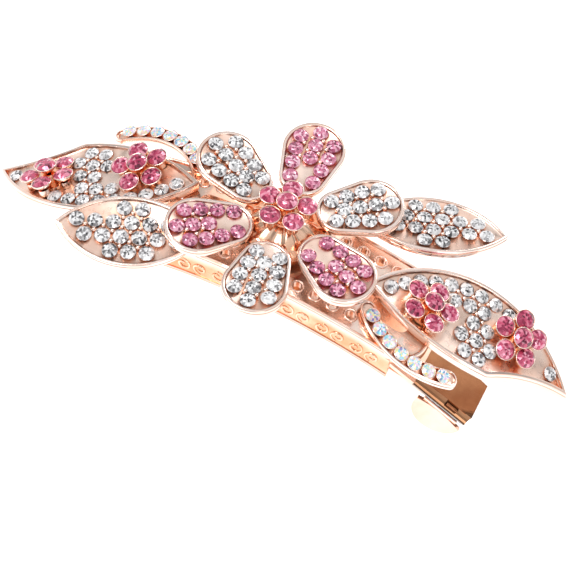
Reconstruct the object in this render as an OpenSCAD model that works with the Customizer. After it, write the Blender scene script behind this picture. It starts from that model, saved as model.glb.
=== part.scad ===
// Rhinestone French barrette: an arched spring clip with a flower and leaf ornament.
// +X runs along the clip towards its catch, +Z is up. The floor is z = 0.

/* [Ornament] */
// Height of the petals' rims above the floor
petal_z = 25.7; // [23:0.1:28]
// Radius of the arch that the leaves follow
leaf_arch_r = 86; // [80:1:95]
// Drop from the petals' rims to the top of the leaf arch
leaf_drop = 2.2; // [2:0.1:3]
// Height of a leaf's wall above its floor
wall_h = 1.3; // [1.2:0.1:1.6]
// Thickness of a leaf's or petal's wall
wall_t = 0.6; // [0.4:0.05:0.8]
// Thickness of a leaf's floor
leaf_floor_t = 0.9; // [0.8:0.1:1.2]

/* [Petals] */
// Length of a petal
petal_l = 13.4; // [12:0.1:14]
// Radius of a petal's outer end
petal_outer_r = 4.9; // [4.4:0.1:5]
// Radius of a petal's inner end
petal_inner_r = 3.8; // [3.5:0.1:4]
// Distance from the flower's axis to a petal's inner end
petal_start = 4.9; // [4.8:0.1:5.6]
// Upward tilt of a petal
petal_tilt = 4; // [2:0.5:6]
// Height of a petal's tray
petal_h = 1.5; // [1.3:0.1:1.8]
// Direction of the first petal
first_petal = 37; // [30:1:44]

/* [Stones] */
// Diameter of a pave stone
stone_d = 2.4; // [2:0.1:2.6]
// Diameter of a cluster stone
big_stone_d = 3.1; // [2.8:0.1:3.2]
// Radius of a cluster's ring of five stones
cluster_r = 3.05; // [2.9:0.05:3.3]
// Height of a cluster's middle stone above its ring
cluster_rise = 1.1; // [0.8:0.1:1.4]
// Diameter of a stem's iridescent stone
stem_stone_d = 2.2; // [2:0.1:2.3]

/* [Bridge] */
// Length of the pierced bridge
bridge_l = 54; // [50:1:58]
// Width of the bridge
bridge_w = 16; // [15:0.5:18]
// Thickness of the bridge's band
bridge_t = 1.2; // [1:0.1:1.4]
// Depth of the bridge's side skirts
skirt_h = 4.4; // [3.6:0.1:4.6]

/* [Clip] */
// Distance of the clip's centre line behind the flower's axis
clip_y = -1.75; // [-3:0.05:0]
// Width of the clip's top plate
plate_w = 9.6; // [9:0.1:10.5]
// Thickness of the top plate
plate_t = 0.8; // [0.6:0.05:1]
// Radius of the top plate's arch
plate_r = 56; // [54:0.5:58]
// Slope of the top plate's straight ends
end_slope = 27; // [25:0.5:28]
// Drop from the petals' rims to the top plate's highest point
plate_drop = 9.5; // [9.3:0.1:10.2]
// Width of the clasp arm
arm_w = 6.2; // [6:0.1:6.4]
// Thickness of the clasp arm
arm_t = 0.8; // [0.7:0.05:0.9]
// Radius of the clasp arm's arch
arm_r = 96; // [94:0.5:98]
// Radius of the hinge pin
pin_r = 0.9; // [0.7:0.05:1]
// Thickness of the tension spring
spring_t = 0.4; // [0.3:0.05:0.5]

/* [Hidden] */
$fn = 48;
// Running fit between the pin and its holes
pin_fit = 0.04;
// Depth to which brazed pieces sink into each other
braze = 0.06;

arch_z = petal_z - leaf_drop - leaf_arch_r;   // height of the leaf arch's axis
rim_level = leaf_arch_r;                      // radii measured from that axis
floor_level = rim_level - wall_h;
leaf_base = floor_level - leaf_floor_t;
bridge_top = leaf_base + braze;
bridge_under = bridge_top - bridge_t;
bridge_y = -1.9;

plate_x = -1.4;                               // the top plate's highest point
plate_top_z = petal_z - plate_drop;
plate_axis_z = plate_top_z - plate_r;
arm_x = -2.3;                                 // the arm's highest point
arm_top_z = petal_z - 16.1;
hinge_x = -31.5;
hinge_z = arm_top_z - arm_t / 2 - arm_r + sqrt(pow(arm_r, 2) - pow(hinge_x - arm_x, 2));
knuckle_r = 1.6;
rivet_x = 6;                                  // plate rivets, each side of the highest point
rivet_r = 0.8;
rivet_hole = rivet_r + 0.04;
boss_r = 1.7;                                 // the bridge's bosses over the plate rivets
keeper_x = 20;                                // the tension spring's keepers
hub_hole = 1.04;
pavilion_part = 0.36;                         // a stone's point, as a part of its diameter
ear_t = 0.8;                                  // thickness of a hinge ear
ear_gap = 0.25;                               // side play of the arm between the ears

saddle_start = 3.2;                           // distances along the plate's sloped end
saddle_end = 14.4;
saddle_half = 3.25;                           // half width of the catch's flat top
flare_r = 1.5;                                // radius of the catch's hollow flare
flare_stop = 250;
wing_centre = 9.8;                            // middle of a wing along the sloped end
wing_r = 4.3;
wing_t = 0.7;
wing_hang = 80;                               // how steeply a wing hangs
wing_play = 0.1;
hook_play = 0.25;                             // between a hook leg and the arm

hub_r = 6.4;
petal_clear_r = 4.9;                          // the petals keep clear of the hub's dome
tray_floor_t = 0.7;                           // floor of a petal or a small leaf

// A leaf's outline is where two discs overlap: its root, its tip and the bulge each side
big_root = [15.2, -1.6];
big_tip = [48.6, 3.0];
big_bulge = [8.6, 5.4];
tip_hollow = [55.8, -23.2];                   // a disc that hollows the edge near the tip
tip_hollow_r = 27.2;
small_root = [9.5, 6.8];
small_tip = [30.6, 15.4];
small_bulge = [6.4, 5.1];
small_top = petal_z - 2.2;                    // top of a small leaf's rim at its root
small_slope = 2;
small_roll = 10;                              // how far its inner edge is raised
small_post = [14.7, 5.9];
// Cluster places on a big leaf: along X, along Y and sideways tilt
inner_cluster = [25, -0.4, -8];
outer_cluster = [38.6, 4.2, 12];
inner_turn = 13;
outer_turn = 34;
cluster_lift = 1.2;                           // of the girdles above the leaf's rim
leaf_cup_depth = cluster_lift + wall_h + braze;
stem_level = rim_level - 0.9;                 // top of a stem's cast rail
stem_sunk = 0.5;                              // its strip and stones lie below the rail's top
stem_centre = [25.9, 2.7];
stem_r = 12;
stem_from = 222;
stem_to = 300;

rose_gold = [0.93, 0.72, 0.62];
pink = [0.86, 0.36, 0.52];
clear = [0.93, 0.93, 0.95];
iridescent = [0.75, 0.88, 0.95];

// ---- Shared shapes ----------------------------------------------------------

// A bar of the given radius lying along Y
module y_bar(r, l) {
    rotate([90, 0, 0]) cylinder(r = r, h = l, center = true, $fn = 96);
}

// The outline given as a child, cut from the leaf arch between two radii
module on_arch(top, under) {
    intersection() {
        linear_extrude(height = 40) children();
        translate([0, 0, arch_z]) difference() {
            y_bar(top, 60);
            y_bar(under, 61);
        }
    }
}

// Children stand on the leaf arch at the given plan position and radius
module stand_on_arch(x, y, level) {
    translate([x, y, arch_z + sqrt(level * level - x * x)])
        rotate([0, asin(x / level), 0]) children();
}

// Children at a distance along one of the plate's sloped ends: side is 1 or -1
module on_plate_end(side, distance) {
    reach = plate_r * sin(end_slope);
    translate([plate_x + side * reach, clip_y, plate_axis_z + plate_r * cos(end_slope)])
        rotate([0, side * end_slope, 0]) translate([side * distance, 0, 0]) children();
}

// Children stand on the plate's arch, upright to it
module on_plate(dx) {
    a = asin(dx / plate_r);
    translate([plate_x, clip_y, plate_axis_z]) rotate([0, a, 0])
        translate([0, 0, plate_r]) children();
}

// A strip bent to an arch: highest point, outer radius, thickness, width, and ends in X
module arched_strip(x0, top, r, t, w, from_x, to_x) {
    intersection() {
        translate([from_x, clip_y - w / 2, 0]) cube([to_x - from_x, w, 60]);
        translate([x0, clip_y, top - r]) difference() {
            y_bar(r, w + 2);
            y_bar(r - t, w + 4);
        }
    }
}

// A leaf's outline, drawn in by the given inset
module leaf_outline(root, tip, bulge, inset = 0) {
    span = tip - root;
    half = norm(span) / 2;
    middle = (root + tip) / 2;
    turn = atan2(span[1], span[0]);
    r_upper = (half * half + bulge[0] * bulge[0]) / (2 * bulge[0]);
    r_lower = (half * half + bulge[1] * bulge[1]) / (2 * bulge[1]);
    translate(middle) rotate(turn) intersection() {
        translate([0, bulge[0] - r_upper]) circle(r = r_upper - inset, $fn = 120);
        translate([0, r_lower - bulge[1]]) circle(r = r_lower - inset, $fn = 120);
    }
}

// A big leaf's outline, which turns up to a hollow-edged tip
module big_outline(inset = 0) {
    difference() {
        leaf_outline(big_root, big_tip, big_bulge, inset);
        translate(tip_hollow) circle(r = tip_hollow_r + inset, $fn = 120);
    }
}

// How far a plan point lies inside a leaf's outline, negative outside
function inside_leaf(p, root, tip, bulge) =
    let (span = tip - root, half = norm(span) / 2, middle = (root + tip) / 2,
         u = span / norm(span), q = p - middle,
         s = q * u, n = q * [-u[1], u[0]],
         ru = (half * half + bulge[0] * bulge[0]) / (2 * bulge[0]),
         rl = (half * half + bulge[1] * bulge[1]) / (2 * bulge[1]))
    min(ru - norm([s, n - bulge[0] + ru]), rl - norm([s, n - rl + bulge[1]]));

// A petal's outline: two round ends joined by straight sides that just cut into them
module petal_outline(inset = 0) {
    bite = 0.02;
    d = petal_l - petal_outer_r - petal_inner_r;
    a = acos((petal_inner_r - petal_outer_r) / d);
    ro = petal_outer_r - inset - bite;
    ri = petal_inner_r - inset - bite;
    translate([petal_inner_r, 0]) circle(r = ri + bite);
    translate([petal_inner_r + d, 0]) circle(r = ro + bite);
    polygon([[petal_inner_r + d + ro * cos(a), ro * sin(a)],
             [petal_inner_r + ri * cos(a), ri * sin(a)],
             [petal_inner_r + ri * cos(a), -ri * sin(a)],
             [petal_inner_r + d + ro * cos(a), -ro * sin(a)]]);
}

// A round cut stone standing on its culet, with its girdle at half its diameter
module stone(d) {
    pavilion = pavilion_part * d;
    girdle = 0.05 * d;
    crown = 0.17 * d;
    rotate_extrude($fn = 24)
        polygon([[0, 0], [0.2 * d, 0], [0.5 * d, pavilion], [0.5 * d, pavilion + girdle],
                 [0.3 * d, pavilion + girdle + crown], [0, pavilion + girdle + crown]]);
}

// ---- Clip -------------------------------------------------------------------

// A long slot with round ends, which lightens a strip
module slot_outline(length, end_r) {
    square([length, 2 * end_r], center = true);
    for (end = [-1, 1]) translate([end * length / 2, 0]) circle(r = end_r);
}

module top_plate() {
    slot_x = 16;
    hinge_end = 4.2;
    color(rose_gold) difference() {
        union() {
            arched_strip(plate_x, plate_top_z, plate_r, plate_t, plate_w,
                         plate_x - plate_r * sin(end_slope) - 0.2,
                         plate_x + plate_r * sin(end_slope) + 0.2);
            on_plate_end(1, 0) translate([0, -plate_w / 2, -plate_t])
                cube([saddle_start, plate_w, plate_t]);
            on_plate_end(-1, 0) translate([-hinge_end, -plate_w / 2, -plate_t])
                cube([hinge_end, plate_w, plate_t]);
            for (side = [-1, 1]) {
                hinge_ear(side);
                spring_keeper(side);
            }
        }
        // room for the arm's knuckle between the ears
        translate([hinge_x, clip_y, hinge_z + 2])
            cube([2 * knuckle_r + 1, arm_w + 2 * ear_gap, 8], center = true);
        translate([hinge_x, clip_y, hinge_z]) y_bar(pin_r + pin_fit, 30);
        for (dx = [-rivet_x, rivet_x]) on_plate(dx) cylinder(r = rivet_hole, h = 6, center = true);
        for (dx = [-slot_x, slot_x]) on_plate(dx) translate([0, 0, -2])
            linear_extrude(height = 4) slot_outline(7, 0.8);
    }
}

// One of the two ears that hold the hinge pin
module hinge_ear(side) {
    near = arm_w / 2 + ear_gap;
    ear_x = plate_x - plate_r * sin(end_slope);
    plate_line = plate_axis_z + plate_r * cos(end_slope);
    translate([0, clip_y + side * (near + ear_t / 2), 0])
        rotate([90, 0, 0]) translate([0, 0, -ear_t / 2]) linear_extrude(height = ear_t) {
            translate([hinge_x, hinge_z]) circle(r = knuckle_r);
            polygon([[hinge_x - 1.3, hinge_z + 0.9], [hinge_x + 1.5, hinge_z - 0.5],
                     [ear_x - 1.2, plate_line - 1.3], [ear_x - 0.6, plate_line - 0.5],
                     [hinge_x + 1.3, hinge_z + 2.6]]);
        }
}

// A low strap under the plate that keeps one end of the tension spring
module spring_keeper(side) {
    strap_w = 8.2;
    strap_l = 1.6;
    strap_t = 0.5;
    leg_t = 0.6;
    depth = 1.3;
    on_plate(side * keeper_x) translate([-strap_l / 2, 0, -plate_t - depth]) {
        translate([0, -strap_w / 2, 0]) cube([strap_l, strap_w, strap_t]);
        for (s = [-1, 1])
            translate([0, s * (strap_w - leg_t) / 2 - leg_t / 2, 0])
                cube([strap_l, leg_t, depth + 0.1]);
    }
}

module hinge_pin() {
    head_r = 1.25;
    head_t = 0.4;
    half = arm_w / 2 + ear_gap + ear_t;
    color(rose_gold) translate([hinge_x, clip_y, hinge_z]) rotate([90, 0, 0]) {
        cylinder(r = pin_r, h = 2 * half + 0.1, center = true);
        for (side = [-1, 1]) translate([0, 0, side * (half + 0.05 + head_t / 2)])
            cylinder(r = head_r, h = head_t, center = true);
    }
}

module clasp_arm() {
    tip_x = 36.6;
    tip_r = arm_w / 2;
    color(rose_gold) difference() {
        union() {
            intersection() {
                translate([0, clip_y, 0]) linear_extrude(height = 60) {
                    translate([hinge_x, -arm_w / 2]) square([tip_x - tip_r - hinge_x, arm_w]);
                    translate([tip_x - tip_r, 0]) circle(r = tip_r);
                }
                translate([arm_x, clip_y, arm_top_z - arm_r]) difference() {
                    y_bar(arm_r, arm_w + 2);
                    y_bar(arm_r - arm_t, arm_w + 4);
                }
            }
            translate([hinge_x, clip_y, hinge_z]) y_bar(knuckle_r - 0.1, arm_w);
        }
        translate([hinge_x, clip_y, hinge_z]) y_bar(pin_r + pin_fit, arm_w + 2);
        translate([-3, clip_y, 0]) linear_extrude(height = 60) slot_outline(34, 0.9);
    }
}

module tension_spring() {
    spring_w = 6;
    half_l = 22.5;
    gap = 0.15;
    color(rose_gold)
        arched_strip(plate_x, plate_top_z - plate_t - gap, plate_r - 0.2, spring_t,
                     spring_w, plate_x - half_l, plate_x + half_l);
}

// The catch: a flat top with a hollow flare down each side, and a hook leg inside each
module catch_saddle() {
    length = saddle_end - saddle_start;
    hook = [2.2, 0.5, 3.1];                   // width, thickness and depth of a hook leg
    color(rose_gold) on_plate_end(1, saddle_start - braze) {
        translate([0, -saddle_half, -plate_t]) cube([length, 2 * saddle_half, plate_t]);
        for (side = [0, 1]) mirror([0, side, 0]) {
            translate([0, saddle_half + flare_r, 0]) rotate([0, 90, 0])
                linear_extrude(height = length) flare_section();
            translate([length - 4.6, arm_w / 2 + hook_play, -hook[2]])
                cube([hook[0], hook[1], hook[2] - plate_t / 2]);
        }
    }
}

// Quarter ring of the flare, drawn with X down and Y outwards
module flare_section() {
    reach = 2 * flare_r + 3;
    intersection() {
        difference() {
            circle(r = flare_r + plate_t);
            circle(r = flare_r);
        }
        polygon([[0, 0], [0, -reach], [reach, -reach],
                 [-reach * sin(flare_stop), reach * cos(flare_stop)]]);
    }
}

// Children at a wing's fold line; the front wing is on the -Y side
module at_fold() {
    ring = flare_r + plate_t / 2;
    edge = wing_t / 2 + wing_play;
    fold_y = saddle_half + flare_r + ring * cos(flare_stop) - edge * sin(flare_stop);
    fold_z = ring * sin(flare_stop) + edge * cos(flare_stop);
    on_plate_end(1, wing_centre) translate([0, -fold_y, fold_z]) children();
}

module catch_wing_front() {
    dish_r = 16;
    fold_l = 6.6;
    color(rose_gold) at_fold() rotate([wing_hang - 90, 0, 0]) {
        rotate([0, 90, 0]) cylinder(r = wing_t / 2, h = fold_l, center = true);
        intersection() {
            translate([0, 0, -0.2]) rotate([90, 0, 0]) cylinder(r = wing_r, h = 6, center = true);
            translate([-6, -3, -12]) cube([12, 6, 12]);
            translate([0, -dish_r - wing_t / 2, -1.2]) difference() {
                sphere(r = dish_r + wing_t, $fn = 96);
                sphere(r = dish_r, $fn = 96);
            }
        }
    }
}

module catch_wing_rear() {
    translate([0, clip_y, 0]) mirror([0, 1, 0]) translate([0, -clip_y, 0]) catch_wing_front();
}

// Rivets that hold the plate to the bridge's bosses
module plate_rivets() {
    head_r = 1.3;
    head_t = 0.14;
    color(rose_gold) for (dx = [-rivet_x, rivet_x]) on_plate(dx) {
        translate([0, 0, -plate_t]) cylinder(r = rivet_r, h = 2.6);
        translate([0, 0, -plate_t - head_t]) cylinder(r = head_r, h = head_t);
    }
}

// ---- Bridge -----------------------------------------------------------------

// A rectangle with round corners about the origin
module rounded_plan(length, width, corner) {
    square([length - 2 * corner, width], center = true);
    square([length, width - 2 * corner], center = true);
    for (sx = [-1, 1], sy = [-1, 1])
        translate([sx * (length / 2 - corner), sy * (width / 2 - corner)]) circle(r = corner);
}

// The bridge in plan: two windows each side, a row of round piercings and the hub's hole
module bridge_plan() {
    piercing_pitch = 3;
    piercing_y = 5.4;
    difference() {
        translate([0, bridge_y]) rounded_plan(bridge_l, bridge_w, 5);
        for (sx = [-1, 1], c = [11, 20])
            translate([sx * c, bridge_y]) rounded_plan(6.6, 7, 1.5);
        for (k = [-7 : 7], sy = [-1, 1])
            translate([piercing_pitch * k, bridge_y + sy * piercing_y]) circle(r = 0.7, $fn = 24);
        circle(r = hub_hole);
    }
}

module filigree_bridge() {
    skirt_t = 0.8;
    skirt_l = bridge_l - 8;
    color(rose_gold) difference() {
        union() {
            on_arch(bridge_top, bridge_under) bridge_plan();
            on_arch(bridge_under + 0.3, bridge_under - skirt_h) for (side = [-1, 1])
                translate([0, bridge_y + side * (bridge_w - skirt_t) / 2])
                    square([skirt_l, skirt_t], center = true);
            intersection() {
                for (dx = [-rivet_x, rivet_x]) on_plate(dx) cylinder(r = boss_r, h = 7);
                translate([0, 0, arch_z]) y_bar(bridge_under + 0.3, 60);
            }
        }
        for (dx = [-rivet_x, rivet_x]) on_plate(dx)
            translate([0, 0, -0.01]) cylinder(r = rivet_hole, h = 2);
    }
}

// ---- Flower -----------------------------------------------------------------

module flower_hub() {
    top = petal_z - 1.5;
    foot = arch_z + bridge_top - braze;
    stalk_r = 4.2;
    disc_t = 1.3;
    color(rose_gold) difference() {
        union() {
            translate([0, 0, foot]) cylinder(r = stalk_r, h = top - foot - 0.6);
            translate([0, 0, top - disc_t]) cylinder(r = hub_r, h = disc_t);
            // dome under the centre stones
            translate([0, 0, top]) cylinder(r1 = 4.6, r2 = 3.4, h = 1.9);
        }
        translate([0, 0, foot - 1]) cylinder(r = hub_hole, h = top - foot);
    }
}

module flower_rivet() {
    under = arch_z + bridge_under;
    head_t = 0.7;
    color(rose_gold) {
        translate([0, 0, under - head_t]) cylinder(r = 1.8, h = head_t - 0.01);
        translate([0, 0, under - 0.1]) cylinder(r = 1, h = 3.2);
    }
}

// Children in a petal's own frame: X outwards from its inner end, Z up from its underside
module at_petal(k) {
    rotate([0, 0, first_petal + 60 * k]) translate([petal_start, 0, petal_z - petal_h])
        rotate([0, -petal_tilt, 0]) children();
}

module petal(k) {
    color(rose_gold) difference() {
        at_petal(k) difference() {
            linear_extrude(height = petal_h) petal_outline();
            translate([0, 0, tray_floor_t])
                linear_extrude(height = petal_h) petal_outline(wall_t);
        }
        cylinder(r = petal_clear_r, h = 60);
    }
}

// Half a petal's inner width, less a stone's radius, at a distance from its inner end
function petal_room(x) =
    let (d = petal_l - petal_outer_r - petal_inner_r, near = x - petal_inner_r,
         half = near < 0 ? sqrt(petal_inner_r * petal_inner_r - near * near)
                         : petal_inner_r + (petal_outer_r - petal_inner_r) * min(1, near / d))
    half - wall_t - stone_d / 2 - 0.02;

// Petal stones: one row down the middle and a row along each side, half a pitch back
module petal_stones(k, colour) {
    middle_count = k % 2 == 0 ? 4 : 3;
    pitch = stone_d + 0.03;
    last = petal_l - wall_t - stone_d / 2 - 0.05;
    color(colour) at_petal(k) translate([0, 0, tray_floor_t - braze]) {
        for (i = [0 : middle_count - 1]) translate([last - i * pitch, 0, 0]) stone(stone_d);
        for (i = [0 : 3], side = [-1, 1]) {
            x = last - 1.55 - i * (pitch + 0.02);
            translate([x, side * min(2.65, petal_room(x)), 0]) stone(stone_d);
        }
    }
}

// ---- Leaves -----------------------------------------------------------------

module big_leaf() {
    color(rose_gold) {
        on_arch(rim_level, leaf_base) difference() {
            big_outline();
            big_outline(wall_t);
        }
        on_arch(floor_level, leaf_base) big_outline(wall_t - 0.1);
    }
}

// How far a plan point is from the nearest ring stone of a cluster
function ring_gap(p, place, turn) =
    min([for (k = [0 : 4])
        norm(p - [place[0], place[1]] - cluster_r * [cos(72 * k + turn), sin(72 * k + turn)])]);

// Pave stones in rows that follow the leaf's upper edge, where they clear its wall and clusters
module big_leaf_stones() {
    pitch = stone_d + 0.05;
    row_shift = 0.75;
    span = big_tip - big_root;
    half = norm(span) / 2;
    along = span / norm(span);
    across = [-along[1], along[0]];
    edge_r = (half * half + big_bulge[0] * big_bulge[0]) / (2 * big_bulge[0]);
    edge_centre = (big_root + big_tip) / 2 + (big_bulge[0] - edge_r) * across;
    color(clear) for (row = [0 : 4], col = [-9 : 9]) {
        r = edge_r - wall_t - stone_d / 2 - 0.1 - row * pitch;
        a = (col + row_shift + 0.5 * (row % 2)) * pitch / r * 180 / PI;
        p = edge_centre + r * (sin(a) * along + cos(a) * across);
        edge = min(inside_leaf(p, big_root, big_tip, big_bulge),
                   norm(p - tip_hollow) - tip_hollow_r);
        middle_gap = min(norm(p - [inner_cluster[0], inner_cluster[1]]),
                         norm(p - [outer_cluster[0], outer_cluster[1]]));
        inner_gap = ring_gap(p, inner_cluster, inner_turn);
        outer_gap = ring_gap(p, outer_cluster, outer_turn);
        if (edge > wall_t + 0.49 * stone_d && middle_gap > 3.35 && inner_gap > 2.05
            && outer_gap > 2.3)
            stand_on_arch(p[0], p[1], floor_level - braze) stone(stone_d);
    }
}

// Children in a small leaf's own frame, Z up from its underside at the root
module at_small_leaf() {
    span = small_tip - small_root;
    turn = atan2(span[1], span[0]);
    translate([small_root[0], small_root[1], small_top - petal_h])
        rotate([0, 0, turn]) rotate([-small_roll, small_slope, 0]) rotate([0, 0, -turn])
            translate([-small_root[0], -small_root[1], 0]) children();
}

module small_leaf() {
    post_r = 0.8;
    color(rose_gold) difference() {
        union() {
            at_small_leaf() difference() {
                linear_extrude(height = petal_h)
                    leaf_outline(small_root, small_tip, small_bulge);
                translate([0, 0, tray_floor_t]) linear_extrude(height = petal_h)
                    leaf_outline(small_root, small_tip, small_bulge, wall_t);
            }
            // post that stands on the bridge
            translate([small_post[0], small_post[1], small_top - 4.6])
                cylinder(r = post_r, h = 3.8);
        }
        translate([0, 0, arch_z]) y_bar(bridge_top - braze, 80);
    }
}

module small_leaf_stones() {
    span = small_tip - small_root;
    along = span / norm(span);
    across = [-along[1], along[0]];
    pitch = 2.75;
    color(clear) at_small_leaf() for (row = [-2 : 1], col = [1 : 8]) {
        p = small_root + (1.6 + (col + 0.5 * abs(row % 2)) * pitch) * along
            + (0.55 + (row + 0.5) * 0.86 * pitch) * across;
        if (inside_leaf(p, small_root, small_tip, small_bulge) > wall_t + 0.45 * stone_d)
            translate([p[0], p[1], tray_floor_t - braze]) stone(stone_d);
    }
}

// Plan outline of a stem: part of a ring
module stem_plan(width, from, to) {
    reach = 2 * stem_r;
    translate(stem_centre) intersection() {
        difference() {
            circle(r = stem_r + width / 2, $fn = 96);
            circle(r = stem_r - width / 2, $fn = 96);
        }
        polygon([[0, 0], reach * [cos(from), sin(from)],
                 reach * [cos((from + to) / 2), sin((from + to) / 2)],
                 reach * [cos(to), sin(to)]]);
    }
}

module stone_stem() {
    strip_w = 2.2;
    strip_t = 0.9;
    color(rose_gold) {
        on_arch(stem_level - stem_sunk, stem_level - stem_sunk - strip_t)
            stem_plan(strip_w, stem_from - 6, stem_to + 8);
        stand_on_arch(stem_centre[0] + stem_r * cos(stem_from + 12),
                      stem_centre[1] + stem_r * sin(stem_from + 12), bridge_top - braze)
            cylinder(r = 0.8, h = stem_level - 1.2 - bridge_top);
    }
}

module stem_stones() {
    last = 6;
    margin = 6;
    step = (stem_to - stem_from - 2 * margin) / last;
    color(iridescent) for (k = [0 : last]) {
        a = stem_from + margin + k * step;
        stand_on_arch(stem_centre[0] + stem_r * cos(a), stem_centre[1] + stem_r * sin(a),
                      stem_level - stem_sunk - braze) stone(stem_stone_d);
    }
}

// The left-hand ornament is the right-hand one turned half a turn about the flower
module left_hand() {
    rotate([0, 0, 180]) children();
}

// ---- Clusters ---------------------------------------------------------------

// Cups for one middle stone and a ring of five, measured down from the girdle plane
module cluster_cup(depth) {
    pavilion = pavilion_part * big_stone_d;
    disc_t = 0.5;
    cup_h = 1;
    translate([0, 0, -depth]) cylinder(r = 1.6, h = depth - pavilion - disc_t / 2);
    translate([0, 0, -pavilion - cup_h]) {
        cylinder(r = 2.6, h = disc_t);
        cylinder(r = 1.3, h = cup_h + cluster_rise);
        for (k = [0 : 4]) rotate([0, 0, 72 * k]) translate([cluster_r, 0, 0])
            cylinder(r = 0.9, h = cup_h);
    }
}

module cluster_stones() {
    pavilion = pavilion_part * big_stone_d;
    for (k = [0 : 4]) rotate([0, 0, 72 * k])
        translate([cluster_r, 0, -pavilion - braze]) stone(big_stone_d);
    translate([0, 0, cluster_rise - pavilion - braze]) stone(big_stone_d);
}

// Children at a cluster's girdle plane on the right-hand big leaf
module at_cluster(place, turn) {
    stand_on_arch(place[0], place[1], rim_level + cluster_lift)
        rotate([place[2], 0, 0]) rotate([0, 0, turn]) children();
}

module at_centre() {
    translate([0, 0, petal_z + 3]) rotate([0, 0, 27]) children();
}

module centre_cluster_cup() {
    color(rose_gold) at_centre() cluster_cup(3.4);
}

module inner_cup() {
    color(rose_gold) at_cluster(inner_cluster, inner_turn) cluster_cup(leaf_cup_depth);
}

module outer_cup() {
    color(rose_gold) at_cluster(outer_cluster, outer_turn) cluster_cup(leaf_cup_depth);
}

module inner_stones() {
    color(pink) at_cluster(inner_cluster, inner_turn) cluster_stones();
}

module outer_stones() {
    color(pink) at_cluster(outer_cluster, outer_turn) cluster_stones();
}

// ---- Assembly ---------------------------------------------------------------

top_plate();
hinge_pin();
clasp_arm();
tension_spring();
catch_saddle();
catch_wing_front();
catch_wing_rear();
plate_rivets();
filigree_bridge();
flower_hub();
flower_rivet();
left_hand() big_leaf();  // left_big_leaf
big_leaf();  // right_big_leaf
left_hand() small_leaf();  // left_small_leaf
small_leaf();  // right_small_leaf
left_hand() stone_stem();  // left_stone_stem
stone_stem();  // right_stone_stem
petal(0);  // petal_clear_right
petal(1);  // petal_pink_back
petal(2);  // petal_clear_left
petal(3);  // petal_pink_left
petal(4);  // petal_clear_front
petal(5);  // petal_pink_right
centre_cluster_cup();
left_hand() inner_cup();  // left_inner_cup
left_hand() outer_cup();  // left_outer_cup
inner_cup();  // right_inner_cup
outer_cup();  // right_outer_cup
petal_stones(0, clear);  // stones_petal_clear_right
petal_stones(1, pink);  // stones_petal_pink_back
petal_stones(2, clear);  // stones_petal_clear_left
petal_stones(3, pink);  // stones_petal_pink_left
petal_stones(4, clear);  // stones_petal_clear_front
petal_stones(5, pink);  // stones_petal_pink_right
left_hand() big_leaf_stones();  // stones_left_big_leaf
big_leaf_stones();  // stones_right_big_leaf
left_hand() small_leaf_stones();  // stones_left_small_leaf
small_leaf_stones();  // stones_right_small_leaf
left_hand() stem_stones();  // stones_left_stem
stem_stones();  // stones_right_stem
color(pink) at_centre() cluster_stones();  // stones_centre
left_hand() inner_stones();  // stones_left_inner
left_hand() outer_stones();  // stones_left_outer
inner_stones();  // stones_right_inner
outer_stones();  // stones_right_outer
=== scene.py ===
import math
from itertools import combinations

import bmesh
import bpy
import numpy as np
from mathutils import Matrix, Vector


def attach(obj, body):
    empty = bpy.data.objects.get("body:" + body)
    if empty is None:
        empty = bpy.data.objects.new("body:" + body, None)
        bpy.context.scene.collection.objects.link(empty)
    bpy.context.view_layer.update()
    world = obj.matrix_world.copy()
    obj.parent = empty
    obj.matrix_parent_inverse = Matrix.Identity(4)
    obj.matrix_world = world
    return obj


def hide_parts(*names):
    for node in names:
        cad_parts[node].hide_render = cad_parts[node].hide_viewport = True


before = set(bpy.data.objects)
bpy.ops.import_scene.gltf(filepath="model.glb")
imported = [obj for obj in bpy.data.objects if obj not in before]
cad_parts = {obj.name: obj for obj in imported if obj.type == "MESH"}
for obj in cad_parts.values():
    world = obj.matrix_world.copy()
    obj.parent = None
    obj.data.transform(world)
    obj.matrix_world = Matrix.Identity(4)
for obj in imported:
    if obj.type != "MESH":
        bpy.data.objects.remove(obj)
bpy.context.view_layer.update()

MM = 0.001

# ---- Driving sizes in millimetres, as the solids have them ---------------------
PETAL_Z = 25.7
ARCH_R = 86.0
LEAF_DROP = 2.2
WALL_H = 1.3
WALL_T = 0.6
LEAF_FLOOR_T = 0.9
PETAL_L = 13.4
PETAL_OUTER_R = 4.9
PETAL_INNER_R = 3.8
PETAL_START = 4.9
PETAL_TILT = 4
PETAL_H = 1.5
FIRST_PETAL = 37
HUB_R = 6.4
BRIDGE_L, BRIDGE_W, BRIDGE_T = 54.0, 16.0, 1.2
BRIDGE_Y = -1.9
BIG_ROOT, BIG_TIP, BIG_BULGE = (15.2, -1.6), (48.6, 3.0), (8.6, 5.4)
TIP_HOLLOW, TIP_HOLLOW_R = (55.8, -23.2), 27.2
SMALL_ROOT, SMALL_TIP, SMALL_BULGE = (9.5, 6.8), (30.6, 15.4), (6.4, 5.1)
SMALL_SLOPE, SMALL_ROLL = 2, 10
STEM_CENTRE, STEM_R = (25.9, 2.7), 12.0
STEM_FROM, STEM_TO, STEM_OVERHANG = 222, 300, 6
BRAZE = 0.06

ARCH_Z = PETAL_Z - LEAF_DROP - ARCH_R
LEAF_BASE = ARCH_R - WALL_H - LEAF_FLOOR_T
BRIDGE_TOP = LEAF_BASE + BRAZE
SMALL_TOP = PETAL_Z - 2.2
STEM_LEVEL = ARCH_R - 0.9

# Sizes that only the looks have: the rails are wider and the tray floors higher than the solids'.
STEM_W, STEM_H, STEM_SEAT, STEM_WALL = 2.5, 1.4, 0.5, 0.32
SEAT_DEPTH, BIG_LEAF_SEAT = 0.34, 0.68
BEAD_D = 0.72
SMOOTH_ANGLE = 38

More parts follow.
